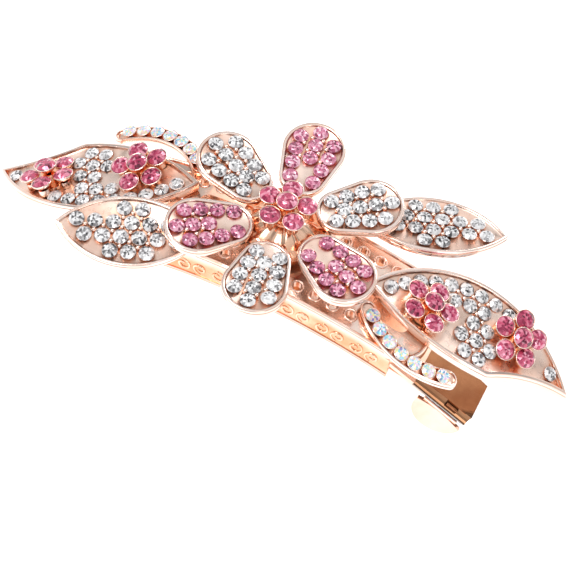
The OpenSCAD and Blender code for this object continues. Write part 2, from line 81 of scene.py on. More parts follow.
PETALS = ["petal_clear_right", "petal_pink_back", "petal_clear_left",
          "petal_pink_left", "petal_clear_front", "petal_pink_right"]
LEFT_HAND = Matrix.Rotation(math.pi, 4, "Z")


# ---- Camera -------------------------------------------------------------------
def place_camera(azimuth=20, elevation=55, roll=7.93, distance=254.7, lens=106.7,
                 aim_right=0.44, aim_down=10.6):
    """Looks down on the flower from in front, aimed a little below its middle."""
    a, e, t = (math.radians(v) for v in (azimuth, elevation, roll))
    back = Vector((math.sin(a) * math.cos(e), -math.cos(a) * math.cos(e), math.sin(e)))
    side = Vector((math.cos(a), math.sin(a), 0))
    up = back.cross(side)
    right = side * math.cos(t) + up * math.sin(t)
    top = up * math.cos(t) - side * math.sin(t)
    flower = Vector((0, 0, PETAL_Z))
    spot = flower + back * distance
    target = flower + right * aim_right - top * aim_down
    z_axis = (spot - target).normalized()
    x_axis = top.cross(z_axis).normalized()
    y_axis = z_axis.cross(x_axis)
    data = bpy.data.cameras.new("camera")
    data.lens = lens
    data.sensor_width = 36
    data.clip_start = 0.01
    data.clip_end = 10
    camera = bpy.data.objects.new("camera", data)
    turn = Matrix((x_axis, y_axis, z_axis)).transposed().to_4x4()
    camera.matrix_world = Matrix.Translation(spot * MM) @ turn
    bpy.context.scene.collection.objects.link(camera)
    bpy.context.scene.camera = camera


place_camera()


# ---- Materials ----------------------------------------------------------------
def fill_ramp(ramp, stops):
    """Gives a colour ramp its (place, colour) stops."""
    marks = ramp.elements
    while len(marks) < len(stops):
        marks.new(0.5)
    for mark, (place, colour) in zip(marks, stops):
        mark.position = place
        mark.color = (*colour, 1)


class Shader:
    """A new material and short ways to add and join its nodes."""

    def __init__(self, name):
        self.material = bpy.data.materials.new(name)
        self.material.use_nodes = True
        self.nodes = self.material.node_tree.nodes
        self.links = self.material.node_tree.links
        self.surface = self.nodes["Principled BSDF"]

    def add(self, kind, **settings):
        node = self.nodes.new(kind)
        for key, value in settings.items():
            setattr(node, key, value)
        return node

    def join(self, source, target):
        self.links.new(source, target)

    def math(self, operation, a, b=None, c=None):
        node = self.add("ShaderNodeMath", operation=operation)
        for socket, value in zip(node.inputs, (a, b, c)):
            if value is None:
                continue
            if isinstance(value, (int, float)):
                socket.default_value = value
            else:
                self.join(value, socket)
        return node.outputs[0]

    def object_coords(self):
        return self.add("ShaderNodeTexCoord").outputs["Object"]

    def noise(self, scale, detail=3.0, vector=None):
        node = self.add("ShaderNodeTexNoise")
        node.inputs["Scale"].default_value = scale
        node.inputs["Detail"].default_value = detail
        self.join(vector or self.object_coords(), node.inputs["Vector"])
        return node.outputs["Fac"]

    def ramp(self, value, stops):
        node = self.add("ShaderNodeValToRGB")
        fill_ramp(node.color_ramp, stops)
        self.join(value, node.inputs["Fac"])
        return node.outputs["Color"]

    def spread(self, value, low, high, from_low=0.3, from_high=0.7):
        node = self.add("ShaderNodeMapRange")
        node.inputs["From Min"].default_value = from_low
        node.inputs["From Max"].default_value = from_high
        node.inputs["To Min"].default_value = low
        node.inputs["To Max"].default_value = high
        self.join(value, node.inputs["Value"])
        return node.outputs["Result"]

    def blend(self, factor, a, b):
        node = self.add("ShaderNodeMix", data_type="RGBA")
        colour_a, colour_b = node.inputs[6], node.inputs[7]
        for socket, value in ((node.inputs["Factor"], factor), (colour_a, a), (colour_b, b)):
            if isinstance(value, tuple):
                socket.default_value = (*value, 1)
            else:
                self.join(value, socket)
        return node.outputs[2]

    def bump(self, height, strength, depth):
        node = self.add("ShaderNodeBump")
        node.inputs["Strength"].default_value = strength
        node.inputs["Distance"].default_value = depth
        self.join(height, node.inputs["Height"])
        self.join(node.outputs["Normal"], self.surface.inputs["Normal"])

    def openness(self, depth, low, high):
        """From 0 in recesses of about the given depth to 1 where the surface is open: the mask for painted
        shade.
        """
        hollow = self.add("ShaderNodeAmbientOcclusion", samples=6)
        hollow.inputs["Distance"].default_value = depth * MM
        return self.spread(hollow.outputs["AO"], 0, 1, low, high)

    def make_metal(self, rough):
        """Polished metal whose roughness wanders between two values."""
        self.join(self.spread(self.noise(900, 4), *rough), self.surface.inputs["Roughness"])
        self.surface.inputs["Metallic"].default_value = 1.0

    def cast_skin(self):
        """The faint unevenness of a casting."""
        self.bump(self.noise(2200, 3), 0.10, 0.03 * MM)


def plated_metal(name, pale, deep, recess_shade, rough=(0.1, 0.24), recess_depth=2.2, grain=None):
    """Rose gold plating: paler where it is open, with deep orange painted shade in its recesses."""
    s = Shader(name)
    tone = s.ramp(s.noise(130, 5), [(0.38, deep), (0.6, pale)])
    # Painted shade: the colour for recesses is blended in where ambient occlusion finds them.
    open_part = s.openness(recess_depth, 0.25, 0.85)
    s.join(s.blend(open_part, recess_shade, tone), s.surface.inputs["Base Color"])
    s.make_metal(rough)
    if grain:
        stretch = s.add("ShaderNodeMapping")
        stretch.inputs["Scale"].default_value = grain
        s.join(s.object_coords(), stretch.inputs["Vector"])
        s.bump(s.noise(1, 3, stretch.outputs["Vector"]), 0.12, 0.02 * MM)
    else:
        s.cast_skin()
    return s.material


def cut_stone(name, stops, shine=0.3):
    """A foil-backed stone with painted reflections: each cut gets a random tone from dark to pale that
    stands in for the light its facets throw back.
    """
    rings_out = 3.2              # rings of cuts from the middle to the girdle
    inner_cuts, outer_cuts = 8, 16
    stone_step = 91              # sets the draws of one stone apart from the next one's
    stone_weight = 0.22          # how much a whole stone is lighter or darker than another
    s = Shader(name)
    cut = s.add("ShaderNodeAttribute", attribute_name="cut").outputs["Vector"]
    tone = s.add("ShaderNodeAttribute", attribute_name="tone").outputs["Fac"]
    parts = s.add("ShaderNodeSeparateXYZ")
    s.join(cut, parts.inputs[0])
    length = s.add("ShaderNodeVectorMath", operation="LENGTH")
    s.join(cut, length.inputs[0])
    radius = length.outputs["Value"]
    angle = s.math("ARCTAN2", parts.outputs["Y"], parts.outputs["X"])
    turn = s.math("DIVIDE", s.math("ADD", angle, math.pi), 2 * math.pi)
    ring = s.math("FLOOR", s.math("MULTIPLY", radius, rings_out))
    inner = s.math("LESS_THAN", radius, 1 / rings_out)
    count = s.math("MULTIPLY_ADD", inner, inner_cuts - outer_cuts, outer_cuts)
    sector = s.math("FLOOR", s.math("MULTIPLY", turn, count))
    cell = s.add("ShaderNodeCombineXYZ")
    s.join(sector, cell.inputs[0])
    s.join(ring, cell.inputs[1])
    s.join(s.math("MULTIPLY", tone, stone_step), cell.inputs[2])
    # Painted reflection: one random draw for each cut sets how dark or bright it looks.
    dice = s.add("ShaderNodeTexWhiteNoise", noise_dimensions="3D")
    s.join(cell.outputs[0], dice.inputs["Vector"])
    own_tone = s.math("SUBTRACT", tone, 0.5)
    painted_facet_reflection = s.math("MULTIPLY_ADD", own_tone, stone_weight, dice.outputs["Value"])
    s.join(s.ramp(painted_facet_reflection, stops), s.surface.inputs["Base Color"])
    s.join(s.spread(s.noise(3000, 2), 0.02, 0.08), s.surface.inputs["Roughness"])
    s.surface.inputs["Metallic"].default_value = shine
    s.surface.inputs["IOR"].default_value = 1.7
    s.surface.inputs["Coat Weight"].default_value = 0.35
    s.surface.inputs["Coat Roughness"].default_value = 0.03
    return s.material


# The third colour of each plated finish is the painted shade of its recesses.
ROSE_GOLD = plated_metal("rose_gold_plate", (1.0, 0.84, 0.77), (0.98, 0.74, 0.63), (0.90, 0.45, 0.26))
# Tray floor finish: its deeper orange is painted shade of the sunk floor and inner walls.
TRAY_FLOOR = plated_metal("copper_tray_floor", (1.0, 0.80, 0.70), (0.97, 0.66, 0.53), (0.80, 0.40, 0.24),
                          rough=(0.22, 0.4), recess_depth=0.9)
STRIP = plated_metal("brushed_strip", (0.99, 0.78, 0.67), (0.96, 0.68, 0.54), (0.85, 0.42, 0.25),
                     rough=(0.16, 0.3), grain=(60, 6000, 60))
# Catch finish: its dark brown base is painted dark reflection on the polished saddle, and its near-black
# colour for recesses is painted shade.
CATCH = plated_metal("polished_copper_catch", (0.36, 0.19, 0.10), (0.26, 0.12, 0.06), (0.05, 0.02, 0.015),
                     rough=(0.05, 0.14), recess_depth=4)
WING = plated_metal("polished_wing", (0.98, 0.76, 0.66), (0.92, 0.62, 0.49), (0.74, 0.34, 0.18),
                    rough=(0.06, 0.16))
# Each ramp runs from the darkest to the palest painted reflection of its stone colour.
CLEAR = cut_stone("clear_stone", [(0.0, (0.03, 0.03, 0.035)), (0.2, (0.17, 0.16, 0.17)),
                                  (0.42, (0.62, 0.61, 0.62)), (0.7, (0.97, 0.97, 0.98))])
PINK = cut_stone("pink_stone", [(0.0, (0.10, 0.01, 0.03)), (0.25, (0.36, 0.06, 0.14)),
                                (0.6, (0.72, 0.20, 0.34)), (0.95, (0.98, 0.66, 0.76))])
ROSE = cut_stone("rose_stone", [(0.0, (0.10, 0.0, 0.02)), (0.3, (0.36, 0.02, 0.08)),
                                (0.68, (0.68, 0.09, 0.19)), (1.0, (0.94, 0.44, 0.56))])
RAINBOW = cut_stone("rainbow_stone", [(0.0, (0.22, 0.14, 0.46)), (0.2, (0.20, 0.72, 0.84)),
                                      (0.4, (0.78, 0.90, 0.98)), (0.56, (0.92, 0.82, 0.22)),
                                      (0.74, (0.82, 0.44, 0.78)), (0.95, (0.99, 0.99, 0.99))], shine=0.2)


def bridge_plate(name):
    """The bridge: a pale polished band, with orange painted shade on the skirts below it and in its holes.
    """
    s = Shader(name)
    parts = s.add("ShaderNodeSeparateXYZ")
    s.join(s.object_coords(), parts.inputs[0])
    x, z = parts.outputs["X"], parts.outputs["Z"]
    down = s.math("SUBTRACT", z, ARCH_Z * MM)
    square = s.math("ADD", s.math("MULTIPLY", x, x), s.math("MULTIPLY", down, down))
    radius = s.math("SQRT", square)
    # Painted shade: below the top band the colour turns deep orange, the shade on the side skirts.
    band = s.spread(radius, 0, 1, (BRIDGE_TOP - BRIDGE_T - 0.5) * MM, (BRIDGE_TOP - 0.3) * MM)
    low = s.ramp(s.noise(240, 4), [(0.35, (0.78, 0.36, 0.18)), (0.65, (0.96, 0.56, 0.36))])
    high = s.ramp(s.noise(160, 4), [(0.35, (0.98, 0.73, 0.61)), (0.65, (1.0, 0.84, 0.76))])
    # Painted shade in the holes: a darker orange where ambient occlusion finds recesses.
    open_part = s.openness(1.6, 0.2, 0.8)
    recess_shade = (0.62, 0.25, 0.12)
    s.join(s.blend(open_part, recess_shade, s.blend(band, low, high)), s.surface.inputs["Base Color"])
    s.make_metal((0.12, 0.28))
    s.cast_skin()
    return s.material


BRIDGE = bridge_plate("pierced_bridge_plate")
HUB = plated_metal("deep_hub_casting", (1.0, 0.74, 0.58), (0.95, 0.58, 0.40), (0.72, 0.30, 0.15),
                   recess_depth=2.6)
# Skirt scroll finish: its deeper orange is painted shade of the side skirts.
SKIRT_SCROLL = plated_metal("copper_scroll", (1.0, 0.70, 0.52), (0.92, 0.54, 0.34), (0.70, 0.30, 0.14),
                            rough=(0.12, 0.26), recess_depth=0.9)


# ---- Mesh helpers ---------------------------------------------------------------
def new_piece(name, points, faces, materials, face_slots=None):
    """A closed casting from points in millimetres, with outward normals."""
    mesh = bpy.data.meshes.new(name)
    mesh.from_pydata([tuple(c * MM for c in p) for p in points], [], faces)
    for m in materials:
        mesh.materials.append(m)
    if face_slots:
        mesh.polygons.foreach_set("material_index", face_slots)
    shell = bmesh.new()
    shell.from_mesh(mesh)
    bmesh.ops.remove_doubles(shell, verts=shell.verts, dist=0.002 * MM)
    bmesh.ops.dissolve_degenerate(shell, edges=shell.edges, dist=0.001 * MM)
    bmesh.ops.recalc_face_normals(shell, faces=shell.faces)
    shell.to_mesh(mesh)
    shell.free()
    mesh.polygons.foreach_set("use_smooth", [True] * len(mesh.polygons))
    mesh.set_sharp_from_angle(angle=math.radians(SMOOTH_ANGLE))
    piece = bpy.data.objects.new(name, mesh)
    bpy.context.scene.collection.objects.link(piece)
    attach(piece, "root")
    return piece


def ring_faces(count, rings, closed_profile=False):
    """Quads between neighbouring rings of the same number of points."""
    faces = []
    last = rings if closed_profile else rings - 1
    for r in range(last):
        a, b = r * count, (r + 1) % rings * count
        for k in range(count):
            n = (k + 1) % count
            faces.append((a + k, a + n, b + n, b + k))
    return faces


def ladder_faces(start, half):
    """Quads across a ring whose first half runs out and whose second half runs back."""
    return [(start + k, start + k + 1, start + 2 * half - 2 - k, start + 2 * half - 1 - k)
            for k in range(half - 1)]


# ---- Outlines: an upper and a lower edge with matching points --------------------
def ease(count):
    """Numbers from 0 to 1, closer together at both ends."""
    return [(1 - math.cos(math.pi * k / (count - 1))) / 2 for k in range(count)]


def leaf_edges(root, tip, bulge, hollow=None, hollow_r=0.0, count=72):
    """Returns a function of the inset that gives a leaf's edges from root to tip."""
    root, tip = Vector(root), Vector(tip)
    span = tip - root
    half = span.length / 2
    middle = (root + tip) / 2
    along = span.normalized()
    across = Vector((-along.y, along.x))
    r_up = (half * half + bulge[0] ** 2) / (2 * bulge[0])
    r_low = (half * half + bulge[1] ** 2) / (2 * bulge[1])
    if hollow:
        offset = Vector(hollow) - middle
        hs, hn = offset.dot(along), offset.dot(across)

    def upper(s, inset):
        return bulge[0] - r_up + math.sqrt(max((r_up - inset) ** 2 - s * s, 0))

    def lower(s, inset):
        edge = r_low - bulge[1] - math.sqrt(max((r_low - inset) ** 2 - s * s, 0))
        if hollow and abs(s - hs) < hollow_r + inset:
            edge = max(edge, hn + math.sqrt((hollow_r + inset) ** 2 - (s - hs) ** 2))
        return edge

    def end(sign, inset, halvings=40):
        low, high = 0.0, half
        for _ in range(halvings):
            probe = (low + high) / 2
            if upper(sign * probe, inset) > lower(sign * probe, inset):
                low = probe
            else:
                high = probe
        return sign * low

    def edges(inset):
        first, last = end(-1, inset), end(1, inset)
        ups, lows = [], []
        for t in ease(count):
            s = first + (last - first) * t
            ups.append(middle + along * s + across * upper(s, inset))
            lows.append(middle + along * s + across * lower(s, inset))
        return ups, lows

    return edges


def petal_edges(inset, count=28):
    """A petal's edges from its inner to its outer end: two arcs and a straight side."""
    d = PETAL_L - PETAL_OUTER_R - PETAL_INNER_R
    lean = math.acos((PETAL_INNER_R - PETAL_OUTER_R) / d)
    ups = []
    for k in range(count):
        a = math.pi + (lean - math.pi) * k / (count - 1)
        r = PETAL_INNER_R - inset
        ups.append(Vector((PETAL_INNER_R + r * math.cos(a), r * math.sin(a))))
    for k in range(count):
        a = lean * (1 - k / (count - 1))
        r = PETAL_OUTER_R - inset
        ups.append(Vector((PETAL_INNER_R + d + r * math.cos(a), r * math.sin(a))))
    return ups, [Vector((p.x, -p.y)) for p in ups]


def stem_edges(inset, count=56):
    """A stem's edges: two arcs about the stem's centre, which meet in round ends."""
    first = math.radians(STEM_FROM - STEM_OVERHANG) + inset / STEM_R
    last = math.radians(STEM_TO + STEM_OVERHANG) - inset / STEM_R
    cx, cy = STEM_CENTRE
    half_w = STEM_W / 2 - inset
    round_part = half_w / STEM_R / (last - first)
    ups, lows = [], []
    for t in ease(count):
        a = first + (last - first) * t
        from_end = min(t, 1 - t) / round_part
        width = half_w * math.sqrt(max(1 - (1 - from_end) ** 2, 0)) if from_end < 1 else half_w
        for rows, side in ((ups, 1), (lows, -1)):
            r = STEM_R + side * width
            rows.append(Vector((cx + r * math.cos(a), cy + r * math.sin(a))))
    return ups, lows


def tray(name, edges, place, depth, wall_h, wall_t, node):
    """A cast tray: grooved outer wall, rounded rim, inner wall and floor, the inner wall and floor in a
    deeper orange that is painted shade.
    """
    foot = [(0.35, -depth), (0.08, -depth + 0.12), (0.0, -depth + 0.35)]
    groove = [(0.0, -0.72), (0.10, -0.66), (0.10, -0.56), (0.0, -0.48)]
    rim = [(0.0, -0.20), (0.05, -0.08), (0.16, 0.0), (wall_t - 0.18, 0.0), (wall_t - 0.06, -0.05)]
    inner_wall = [(wall_t, -0.14), (wall_t + 0.04, -wall_h + 0.08), (wall_t + 0.16, -wall_h)]
    profile = foot + groove + rim + inner_wall
    points = []
    for inset, drop in profile:
        ups, lows = edges(inset)
        for p in ups + lows[::-1]:
            points.append(place(p.x, p.y, drop))
    half = len(ups)
    count = 2 * half
    walls = ring_faces(count, len(profile))
    base = ladder_faces(0, half)
    floor = ladder_faces((len(profile) - 1) * count, half)
    # The inner wall's faces and the floor take the second finish, painted shade of the sunk tray.
    shade_wall_faces = (len(inner_wall) - 1) * count
    slots = [0] * (len(walls) - shade_wall_faces) + [1] * shade_wall_faces + [0] * len(base) + [1] * len(floor)
    piece = new_piece(name, points, walls + base + floor, [ROSE_GOLD, TRAY_FLOOR], slots)
    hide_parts(node)


def on_leaf_arch(level, hand):
    """Places a plan point on the leaf arch at a height off the given level."""
    def place(x, y, drop):
        z = ARCH_Z + math.sqrt((level + drop) ** 2 - x * x)
        return (-x, -y, z) if hand == "left" else (x, y, z)
    return place


def by_matrix(matrix, top):
    """Places a plan point on a flat piece's own plane, top above its base."""
    return lambda x, y, drop: tuple(matrix @ Vector((x, y, top + drop)))


def petal_matrix(k):
    """The place of the k-th petal, which points outwards and tilts up."""
    return (Matrix.Rotation(math.radians(FIRST_PETAL + 60 * k), 4, "Z")
            @ Matrix.Translation((PETAL_START, 0, PETAL_Z - PETAL_H))
            @ Matrix.Rotation(math.radians(-PETAL_TILT), 4, "Y"))


def small_leaf_matrix(hand):
    """The place of a small leaf, turned about its root by its slope and roll."""
    turn = math.atan2(SMALL_TIP[1] - SMALL_ROOT[1], SMALL_TIP[0] - SMALL_ROOT[0])
    own = (Matrix.Translation((SMALL_ROOT[0], SMALL_ROOT[1], SMALL_TOP - PETAL_H))
           @ Matrix.Rotation(turn, 4, "Z")
           @ Matrix.Rotation(math.radians(SMALL_SLOPE), 4, "Y")
           @ Matrix.Rotation(math.radians(-SMALL_ROLL), 4, "X")
           @ Matrix.Rotation(-turn, 4, "Z")
           @ Matrix.Translation((-SMALL_ROOT[0], -SMALL_ROOT[1], 0)))
    return LEFT_HAND @ own if hand == "left" else own


for k, petal in enumerate(PETALS):
    tray("tray_" + petal, petal_edges, by_matrix(petal_matrix(k), PETAL_H), PETAL_H, SEAT_DEPTH, WALL_T,
         petal)
big_edges = leaf_edges(BIG_ROOT, BIG_TIP, BIG_BULGE, TIP_HOLLOW, TIP_HOLLOW_R)
small_edges = leaf_edges(SMALL_ROOT, SMALL_TIP, SMALL_BULGE)
for hand in ("left", "right"):
    tray(f"tray_{hand}_big_leaf", big_edges, on_leaf_arch(ARCH_R, hand), WALL_H + LEAF_FLOOR_T,
         BIG_LEAF_SEAT, WALL_T, f"{hand}_big_leaf")
    tray(f"tray_{hand}_small_leaf", small_edges, by_matrix(small_leaf_matrix(hand), PETAL_H), PETAL_H,
         SEAT_DEPTH, WALL_T, f"{hand}_small_leaf")
    tray(f"rail_{hand}_stem", stem_edges, on_leaf_arch(STEM_LEVEL, hand), STEM_H, STEM_SEAT, STEM_WALL,
         f"{hand}_stone_stem")


# ---- Stones: their places are read from the solids --------------------------------
def loose_parts(node):
    """The triangles of each separate solid of a CAD node, with corners matched to a micrometre."""
    per_metre = 1e6
    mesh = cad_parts[node].data
    mesh.calc_loop_triangles()
    corners = np.array([v.co for v in mesh.vertices], float)
    tris = np.array([t.vertices for t in mesh.loop_triangles])
    _, same = np.unique(np.round(corners * per_metre).astype(int), axis=0, return_inverse=True)
    joined = same.ravel()[tris]
    label = np.arange(joined.max() + 1)
    while True:
        lowest = label.copy()
        np.minimum.at(lowest, joined.ravel(), np.repeat(label[joined].min(1), 3))
        lowest = lowest[lowest]
        if (lowest == label).all():
            break
        label = lowest
    owner = label[joined[:, 0]]
    return [corners[tris[owner == part]] for part in np.unique(owner)]


def stone_places(node, least_area=1e-12):
    """Each stone's table centre, axis and diameter in a CAD node, in metres."""
    found = []
    for tri in loose_parts(node):
        cross = np.cross(tri[:, 1] - tri[:, 0], tri[:, 2] - tri[:, 0])
        area = np.linalg.norm(cross, axis=1)
        good = area > least_area
        cross, area, tri = cross[good], area[good], tri[good]
        normal = cross / area[:, None]
        _, group = np.unique(np.round(normal, 2), axis=0, return_inverse=True)
        total = np.bincount(group.ravel(), weights=area * (normal[:, 2] > 0))
        flat = group.ravel() == total.argmax()
        axis = (normal[flat] * area[flat, None]).sum(0)
        axis /= np.linalg.norm(axis)
        table = (tri[flat].mean(1) * area[flat, None]).sum(0) / area[flat].sum()
        reach = tri.reshape(-1, 3) - table
        reach -= np.outer(reach @ axis, axis)
        found.append((table, axis, 2 * np.linalg.norm(reach, axis=1).max()))
    return found


def template_mesh(name, shape, smooth=True):
    """A finished template's mesh, its faces pointing outwards."""
    bmesh.ops.recalc_face_normals(shape, faces=shape.faces)
    mesh = bpy.data.meshes.new(name)
    shape.to_mesh(mesh)
    shape.free()
    mesh.polygons.foreach_set("use_smooth", [smooth] * len(mesh.polygons))
    return mesh


def link_template(mesh):
    template = bpy.data.objects.new(mesh.name, mesh)
    bpy.context.scene.collection.objects.link(template)
    return template


def circle_path(radius, count, offset=0):
    """Points round a circle; an offset of 0.5 starts half a step further on."""
    angles = [2 * math.pi * (k + offset) / count for k in range(count)]
    return [(radius * math.cos(a), radius * math.sin(a)) for a in angles]


def gem_template():
    """A unit round brilliant: table, star, kite and girdle cuts, its table at z = 0."""
    gem = bmesh.new()

    def ring(count, radius, z, offset):
        return [gem.verts.new((x, y, z)) for x, y in circle_path(radius, count, offset)]

    table = ring(8, 0.29, 0.0, 0)
    star = ring(8, 0.385, -0.05, 0.5)
    girdle = ring(16, 0.5, -0.17, 0)
    under = ring(16, 0.5, -0.215, 0)
    culet = gem.verts.new((0, 0, -0.56))
    gem.faces.new(table)
    for k in range(8):
        n, g = (k + 1) % 8, 2 * k
        gem.faces.new((table[n], table[k], star[k]))
        gem.faces.new((table[n], star[k], girdle[(g + 2) % 16], star[n]))
        for j in (g, g + 1):
            gem.faces.new((star[k], girdle[j % 16], girdle[(j + 1) % 16]))
    for k in range(16):
        n = (k + 1) % 16
        gem.faces.new((girdle[k], under[k], under[n], girdle[n]))
        gem.faces.new((under[k], culet, under[n]))
    mesh = template_mesh("gem_template", gem, smooth=False)
    cut = mesh.attributes.new("cut", "FLOAT_VECTOR", "POINT")
    cut.data.foreach_set("vector", [c for v in mesh.vertices for c in (2 * v.co.x, 2 * v.co.y, v.co.z)])
    return link_template(mesh)


def lathe_template(name, profile, count):
    """A closed unit shape turned about Z from (radius, height) pairs, poles at both ends."""
    shape = bmesh.new()
    rings = []
    for radius, z in profile:
        if radius == 0:
            rings.append([shape.verts.new((0, 0, z))])
        else:
            rings.append([shape.verts.new((x, y, z)) for x, y in circle_path(radius, count)])
    for a, b in zip(rings, rings[1:]):
        for k in range(count):
            n = (k + 1) % count
            loop = [a[k % len(a)], a[n % len(a)], b[n % len(b)], b[k % len(b)]]
            shape.faces.new(list(dict.fromkeys(loop)))
    return link_template(template_mesh(name, shape))


def setting_tree(tone_shift=7, twist_shift=0):
    """Geometry Nodes: sets a template on every point, along its axis, at its own size."""
    tree = bpy.data.node_groups.new("set_on_points", "GeometryNodeTree")
    sockets = tree.interface
    sockets.new_socket("Geometry", in_out="INPUT", socket_type="NodeSocketGeometry")
    for label, kind in (("Template", "NodeSocketObject"), ("Finish", "NodeSocketMaterial"),
                        ("Turn", "NodeSocketFloat"), ("Seed", "NodeSocketInt")):
        sockets.new_socket(label, in_out="INPUT", socket_type=kind)
    sockets.new_socket("Geometry", in_out="OUTPUT", socket_type="NodeSocketGeometry")
    make, join = tree.nodes.new, tree.links.new
    given, result = make("NodeGroupInput"), make("NodeGroupOutput")

    def attribute(name, kind):
        node = make("GeometryNodeInputNamedAttribute")
        node.data_type = kind
        node.inputs["Name"].default_value = name
        return node.outputs["Attribute"]

    def dice(high, seed_shift):
        node = make("FunctionNodeRandomValue")
        node.data_type = "FLOAT"
        high_socket = [i for i in node.inputs if i.enabled and i.name == "Max"][0]
        if isinstance(high, float):
            high_socket.default_value = high
        else:
            join(high, high_socket)
        shift = make("FunctionNodeIntegerMath")
        shift.operation = "ADD"
        shift.inputs[1].default_value = seed_shift
        join(given.outputs["Seed"], shift.inputs[0])
        join(shift.outputs[0], [i for i in node.inputs if i.name == "Seed"][0])
        return [o for o in node.outputs if o.enabled][0]

    store = make("GeometryNodeStoreNamedAttribute")
    store.data_type = "FLOAT"
    store.domain = "POINT"
    store.inputs["Name"].default_value = "tone"
    join(given.outputs["Geometry"], store.inputs["Geometry"])
    join(dice(1.0, tone_shift), store.inputs["Value"])
    stand = make("FunctionNodeAlignRotationToVector")
    stand.axis = "Z"
    join(attribute("axis", "FLOAT_VECTOR"), stand.inputs["Vector"])
    aim = make("FunctionNodeAlignRotationToVector")
    aim.axis = "X"
    aim.pivot_axis = "Z"
    join(stand.outputs["Rotation"], aim.inputs["Rotation"])
    join(attribute("along", "FLOAT_VECTOR"), aim.inputs["Vector"])
    twist = make("FunctionNodeAxisAngleToRotation")
    twist.inputs["Axis"].default_value = (0, 0, 1)
    join(dice(given.outputs["Turn"], twist_shift), twist.inputs["Angle"])
    spin = make("FunctionNodeRotateRotation")
    spin.rotation_space = "LOCAL"
    join(aim.outputs["Rotation"], spin.inputs["Rotation"])
    join(twist.outputs["Rotation"], spin.inputs["Rotate By"])
    shape = make("GeometryNodeObjectInfo")
    join(given.outputs["Template"], shape.inputs["Object"])
    setter = make("GeometryNodeInstanceOnPoints")
    join(store.outputs["Geometry"], setter.inputs["Points"])
    join(shape.outputs["Geometry"], setter.inputs["Instance"])
    join(spin.outputs["Rotation"], setter.inputs["Rotation"])
    join(attribute("size", "FLOAT"), setter.inputs["Scale"])
    real = make("GeometryNodeRealizeInstances")
    join(setter.outputs["Instances"], real.inputs["Geometry"])
    finish = make("GeometryNodeSetMaterial")
    join(real.outputs["Geometry"], finish.inputs["Geometry"])
    join(given.outputs["Finish"], finish.inputs["Material"])
    join(finish.outputs["Geometry"], result.inputs["Geometry"])
    return tree


SETTING = setting_tree()
templates = {}


def set_on_points(name, template, places, finish, slot_name, turn=0.0, seed=1):
    """A plain mesh piece with the template at each (point, axis, along, size), in metres."""
    cloud = bpy.data.meshes.new(name + "_points")
    cloud.from_pydata([tuple(p[0]) for p in places], [], [])
    columns = (("axis", 1, "FLOAT_VECTOR", "vector"),
               ("along", 2, "FLOAT_VECTOR", "vector"),
               ("size", 3, "FLOAT", "value"))
    for label, column, kind, field in columns:
        values = np.array([p[column] for p in places], float).ravel()
        cloud.attributes.new(label, kind, "POINT").data.foreach_set(field, values)
    holder = bpy.data.objects.new(name + "_points", cloud)
    bpy.context.scene.collection.objects.link(holder)
    setter = holder.modifiers.new("setting", "NODES")
    setter.node_group = SETTING
    given = {"Template": templates[template], "Finish": finish, "Turn": turn, "Seed": seed}
    for item in SETTING.interface.items_tree:
        if item.item_type == "SOCKET" and item.in_out == "INPUT" and item.name in given:
            setter[item.identifier] = given[item.name]
    holder.update_tag()
    seen = bpy.context.evaluated_depsgraph_get()
    seen.update()
    mesh = bpy.data.meshes.new_from_object(holder.evaluated_get(seen))
    bpy.data.objects.remove(holder)
    mesh.name = name
    piece = bpy.data.objects.new(name, mesh)
    bpy.context.scene.collection.objects.link(piece)
    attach(piece, "root")
    return piece


def side_of(axis):
    """A direction square to the axis, as near as may be to X."""
    x = np.array([1.0, 0, 0])
    x = x - axis * (x @ axis)
    return x / np.linalg.norm(x)


def setting_places(found):
    """The (point, axis, along, size) rows of stones, for what is set on or under them."""
    return [(table, axis, side_of(axis), d) for table, axis, d in found]


templates["gem"] = gem_template()
templates["bead"] = lathe_template("bead_template", [(0, 0.5), (0.28, 0.42), (0.46, 0.2), (0.5, -0.1),
                                                     (0.35, -0.5), (0, -0.5)], 8)
templates["cup"] = lathe_template("cup_template", [(0, -0.52), (0.24, -0.52), (0.42, -0.36), (0.535, -0.21),
                                                   (0.545, -0.17), (0.52, -0.145), (0.495, -0.165),
                                                   (0.40, -0.3), (0, -0.4)], 16)

STONE_SETS = {"pink": [n for n in PETALS if "pink" in n], "clear": [n for n in PETALS if "clear" in n]}
STONE_SETS["clear"] += [f"{h}_{s}" for h in ("left", "right") for s in ("big_leaf", "small_leaf")]
STONE_SETS["rose"] = ["centre"] + [f"{h}_{s}" for h in ("left", "right") for s in ("inner", "outer")]
STONE_SETS["rainbow"] = ["left_stem", "right_stem"]
FINISHES = {"pink": (PINK, "pink_stone"), "clear": (CLEAR, "clear_stone"), "rose": (ROSE, "rose_stone"),
            "rainbow": (RAINBOW, "iridescent_stone")}
stone_list = {}
for colour, names in STONE_SETS.items():
    for number, name in enumerate(names):
        stone_list[name] = stone_places("stones_" + name)
        gems = set_on_points("gems_" + name, "gem", setting_places(stone_list[name]), *FINISHES[colour],
                             turn=2 * math.pi, seed=10 * number + len(colour))
        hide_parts("stones_" + name)


# ---- Beads and cups that hold the stones ------------------------------------------
def beads_between(found, reach=1.55, girdle_drop=0.2):
    """Bead places where three stones of a tray meet, at the height of their girdles."""
    places = []
    d = found[0][2]
    for trio in combinations(found, 3):
        tops = [stone[0] for stone in trio]
        gaps = [np.linalg.norm(a - b) for a, b in combinations(tops, 2)]
        if max(gaps) < reach * d:
            axis = sum(stone[1] for stone in trio)
            axis = axis / np.linalg.norm(axis)
            spot = sum(tops) / 3 - axis * girdle_drop * d
            places.append((spot, axis, side_of(axis), BEAD_D * MM))
    return places


